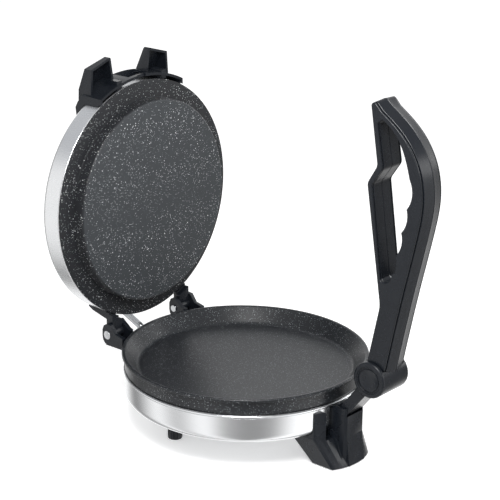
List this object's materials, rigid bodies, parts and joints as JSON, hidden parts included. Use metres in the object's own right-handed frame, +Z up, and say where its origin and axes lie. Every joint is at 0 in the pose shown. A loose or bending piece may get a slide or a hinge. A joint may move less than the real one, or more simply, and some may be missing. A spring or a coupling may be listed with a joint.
{
  "type": "electric roti maker",
  "caption": "Electric roti maker: round heated base with a coated pan, hinged lid with a coated plate, and a folding press lever on the front leg.",
  "frame": {"origin": "centre of the bounding box's underside, on the table, with the lid open and the lever upright", "axes": "+Z up; -Y towards the press lever, +Y towards the lid hinge; +X to the right seen from the lever side; X is the axis of every hinge"},
  "size_m": [0.26, 0.4114, 0.3883],
  "materials": {
    "black_plastic": "satin black moulded plastic with a very fine grain",
    "nonstick_coating": "dark grey non-stick coating with fine white specks on cast aluminium",
    "stainless_steel": "satin stainless steel sheet",
    "galvanised_steel": "zinc-coated steel sheet, dull",
    "element_steel": "sheathed heating tube, heat-tinted steel",
    "ceramic_body": "unglazed white ceramic",
    "fuse_metal": "drawn aluminium can",
    "zinc_screw": "zinc-plated steel",
    "pin_steel": "turned steel, satin",
    "conduit_steel": "bright steel tube",
    "rubber_pad": "black rubber"
  },
  "bodies": {
    "base": {"arm_pivot_pin": "pin_steel", "base_hinge_left": "black_plastic", "base_hinge_right": "black_plastic", "base_hinge_screws": "zinc_screw", "base_shell": "stainless_steel", "bottom_cover": "galvanised_steel", "conduit": "conduit_steel", "conduit_socket": "black_plastic", "cover_screws": "zinc_screw", "foot_left": "black_plastic", "foot_rear": "black_plastic", "foot_right": "black_plastic", "foot_screws": "zinc_screw", "front_leg": "black_plastic", "hinge_pin_left": "pin_steel", "hinge_pin_right": "pin_steel", "leg_pad": "rubber_pad", "leg_screws": "zinc_screw", "lower_element": "element_steel", "lower_plate": "nonstick_coating", "lower_reflector": "galvanised_steel", "mains_gland": "black_plastic", "terminal_block": "black_plastic", "thermal_fuse": "fuse_metal", "thermostat": "ceramic_body"},
    "lid": {"lid_shell": "stainless_steel", "upper_plate": "nonstick_coating", "upper_element": "element_steel", "upper_reflector": "galvanised_steel", "upper_fuse": "fuse_metal", "front_bracket": "black_plastic", "bracket_screws": "zinc_screw", "lid_hinge_left": "black_plastic", "lid_hinge_right": "black_plastic", "lid_hinge_screws": "zinc_screw", "conduit_gland": "black_plastic"},
    "arm": {"arm": "black_plastic", "barrel_cap_left": "black_plastic", "barrel_cap_right": "black_plastic", "barrel_pin": "pin_steel"},
    "handle": {"handle_left": "black_plastic", "handle_right": "black_plastic", "handle_screws": "zinc_screw"}
  },
  "joints": [
    {"name": "lid_hinge", "type": "hinge", "parent": "base", "child": "lid", "pos_m": [0, 0.15993, 0.083], "axis": [1, 0, 0], "range_deg": [0, 91.5], "deforming": ["conduit"]},
    {"name": "arm_pivot", "type": "hinge", "parent": "base", "child": "arm", "pos_m": [0, -0.11527, 0.0575], "axis": [-1, 0, 0], "range_deg": [0, 16]},
    {"name": "handle_fold", "type": "hinge", "parent": "arm", "child": "handle", "pos_m": [0, -0.15267, 0.1063], "axis": [-1, 0, 0], "range_deg": [0, 62]}
  ]
}
